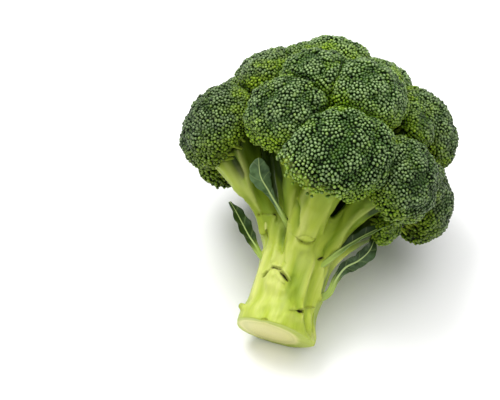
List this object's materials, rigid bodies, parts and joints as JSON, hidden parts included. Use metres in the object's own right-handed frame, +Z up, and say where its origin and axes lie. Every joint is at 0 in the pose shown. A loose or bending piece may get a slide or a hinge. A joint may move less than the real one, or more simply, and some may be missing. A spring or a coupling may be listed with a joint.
{
  "type": "broccoli head",
  "caption": "Fresh broccoli head laid on its side: a thick cut stalk divides into branches under a domed crown of tight green bud clusters, with small leaves on the stalk.",
  "frame": {"origin": "on the surface that the head lies on, under the middle of the head's bounding box", "axes": "+Z up; +Y level, from the cut end of the stalk towards the crown; +X to the right, seen from the cut end"},
  "size_m": [0.155, 0.1672, 0.1394],
  "materials": {
    "stalk": "satin, pale yellow-green, slightly translucent",
    "floret": "matt, dark green buds",
    "leaf": "matt, waxy blue-green"
  },
  "bodies": {
    "root": {"floret_back_left": "floret", "floret_back_middle": "floret", "floret_back_right": "floret", "floret_back_top": "floret", "floret_front": "floret", "floret_front_left": "floret", "floret_front_right": "floret", "floret_inner_front": "floret", "floret_inner_left": "floret", "floret_inner_right": "floret", "floret_inner_side": "floret", "floret_inner_top": "floret", "floret_left": "floret", "floret_lower_right": "floret", "floret_right": "floret", "floret_small": "floret", "floret_top": "floret", "floret_under_left": "floret", "floret_under_right": "floret", "floret_upper_front": "floret", "floret_upper_left": "floret", "floret_upper_middle": "floret", "floret_upper_right": "floret", "floret_upper_side": "floret", "leaf_left": "leaf", "leaf_low": "leaf", "leaf_right": "leaf", "leaf_spoon": "leaf", "stalk": "stalk"}
  },
  "joints": []
}
